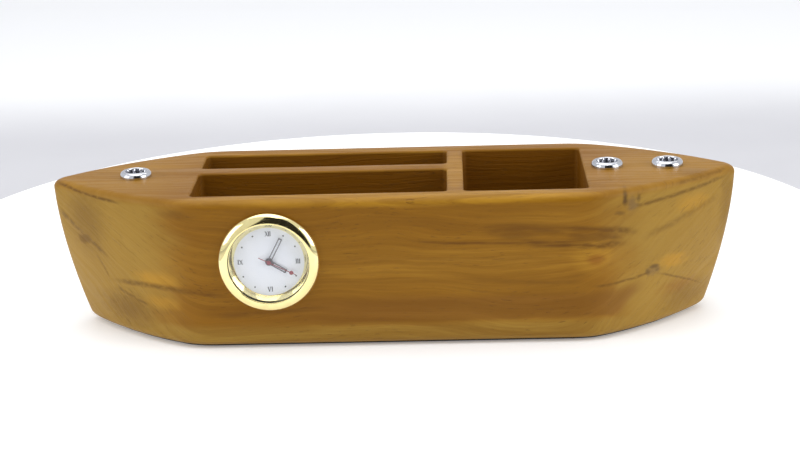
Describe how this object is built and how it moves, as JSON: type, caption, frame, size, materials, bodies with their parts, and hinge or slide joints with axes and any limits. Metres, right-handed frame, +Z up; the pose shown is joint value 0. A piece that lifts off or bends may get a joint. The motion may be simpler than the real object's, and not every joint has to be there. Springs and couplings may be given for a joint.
{
  "type": "desk tidy with insert clock",
  "caption": "Boat-shaped solid-wood desk tidy with card slots, a square pocket, bushed pen holes and a gold-rimmed quartz insert clock in its front wall.",
  "frame": {"origin": "the middle of the felt underside, which rests on the desk", "axes": "+X along the hull from the bow with one pen hole to the bow with two, +Z up, and the clock faces -Y"},
  "size_m": [0.252, 0.079, 0.0573],
  "materials": {
    "oiled_wood": "golden-brown hardwood with a satin clear coat",
    "black_felt": "short dense felt",
    "chrome": "bright plated",
    "polished_gold": "mirror-polished pale gold plate",
    "lens_glass": "clear mineral glass",
    "black_rubber": "matt",
    "white_dial": "fine matt white",
    "black_plastic": "lightly grained moulding",
    "white_plastic": "natural moulding",
    "steel": "plain bright steel",
    "green_board": "solder-masked board",
    "copper_wire": "enamelled copper wire",
    "brass": "turned brass",
    "magnet": "sintered magnet",
    "grey_hand": "dark grey lacquer",
    "red_hand": "red lacquer"
  },
  "bodies": {
    "tidy_body": {"hull": "oiled_wood", "base_felt": "black_felt", "pen_bush_left": "chrome", "pen_bush_right_inner": "chrome", "pen_bush_right_outer": "chrome"},
    "insert_clock": {"clock_bezel": "polished_gold", "clock_lens": "lens_glass", "lens_gasket": "black_rubber", "dial_ring": "polished_gold", "dial": "white_dial", "case_cup": "polished_gold", "friction_ring": "black_rubber", "case_back": "black_plastic", "movement_holder": "white_plastic", "main_plate": "white_plastic", "train_bridge": "black_plastic", "plate_screw_1": "steel", "plate_screw_2": "steel", "plate_screw_3": "steel", "circuit_board": "green_board", "control_chip": "black_plastic", "quartz_can": "steel", "stator_plate": "steel", "coil_core": "steel", "coil_winding": "copper_wire", "button_cell": "steel", "cell_contact_plus": "brass", "cell_contact_minus": "brass"},
    "cell_cover": {"cell_door": "black_plastic"},
    "rotor": {"rotor_magnet": "magnet", "rotor_pinion": "white_plastic"},
    "intermediate_arbor": {"intermediate_wheel": "white_plastic"},
    "seconds_arbor": {"seconds_wheel": "white_plastic", "second_hand": "red_hand"},
    "third_arbor": {"third_wheel": "white_plastic"},
    "minute_pipe": {"centre_wheel": "brass", "cannon_pinion": "brass", "minute_hand": "grey_hand"},
    "motion_wheel": {"minute_wheel": "white_plastic"},
    "hour_pipe": {"hour_wheel": "brass", "hour_hand": "grey_hand"},
    "hand_setting": {"setting_stem": "steel", "setting_knob": "black_plastic"}
  },
  "joints": [
    {"name": "insert_pull", "type": "slide", "parent": "tidy_body", "child": "insert_clock", "axis": [0, -1, 0], "range_m": [0, 0.03]},
    {"name": "cell_door_pull", "type": "slide", "parent": "insert_clock", "child": "cell_cover", "axis": [0, 1, 0], "range_m": [0, 0.012]},
    {"name": "second_hand_turn", "type": "hinge", "parent": "insert_clock", "child": "seconds_arbor", "pos_m": [-0.0437, -0.034, 0.0325], "axis": [0, 1, 0], "continuous": true},
    {"name": "intermediate_turn", "type": "hinge", "parent": "insert_clock", "child": "intermediate_arbor", "pos_m": [-0.03866, -0.034, 0.0325], "axis": [0, 1, 0], "continuous": true},
    {"name": "rotor_turn", "type": "hinge", "parent": "insert_clock", "child": "rotor", "pos_m": [-0.0359, -0.034, 0.03019], "axis": [0, 1, 0], "continuous": true},
    {"name": "third_wheel_turn", "type": "hinge", "parent": "insert_clock", "child": "third_arbor", "pos_m": [-0.04812, -0.034, 0.03505], "axis": [0, 1, 0], "continuous": true},
    {"name": "minute_hand_turn", "type": "hinge", "parent": "insert_clock", "child": "minute_pipe", "pos_m": [-0.0437, -0.034, 0.0325], "axis": [0, 1, 0], "continuous": true},
    {"name": "minute_wheel_turn", "type": "hinge", "parent": "insert_clock", "child": "motion_wheel", "pos_m": [-0.0437, -0.034, 0.0365], "axis": [0, 1, 0], "continuous": true},
    {"name": "hour_hand_turn", "type": "hinge", "parent": "insert_clock", "child": "hour_pipe", "pos_m": [-0.0437, -0.034, 0.0325], "axis": [0, 1, 0], "continuous": true},
    {"name": "setting_knob_turn", "type": "hinge", "parent": "insert_clock", "child": "hand_setting", "pos_m": [-0.0417, -0.034, 0.03996], "axis": [0, 1, 0], "continuous": true}
  ],
  "couplings": [
    {"joint": "intermediate_turn", "follows": "second_hand_turn", "ratio": -6},
    {"joint": "rotor_turn", "follows": "second_hand_turn", "ratio": 30},
    {"joint": "third_wheel_turn", "follows": "second_hand_turn", "ratio": -0.13333},
    {"joint": "minute_hand_turn", "follows": "second_hand_turn", "ratio": 0.016667},
    {"joint": "minute_wheel_turn", "follows": "second_hand_turn", "ratio": -0.0055556},
    {"joint": "hour_hand_turn", "follows": "second_hand_turn", "ratio": 0.0013889},
    {"joint": "setting_knob_turn", "follows": "second_hand_turn", "ratio": 0.016667}
  ]
}
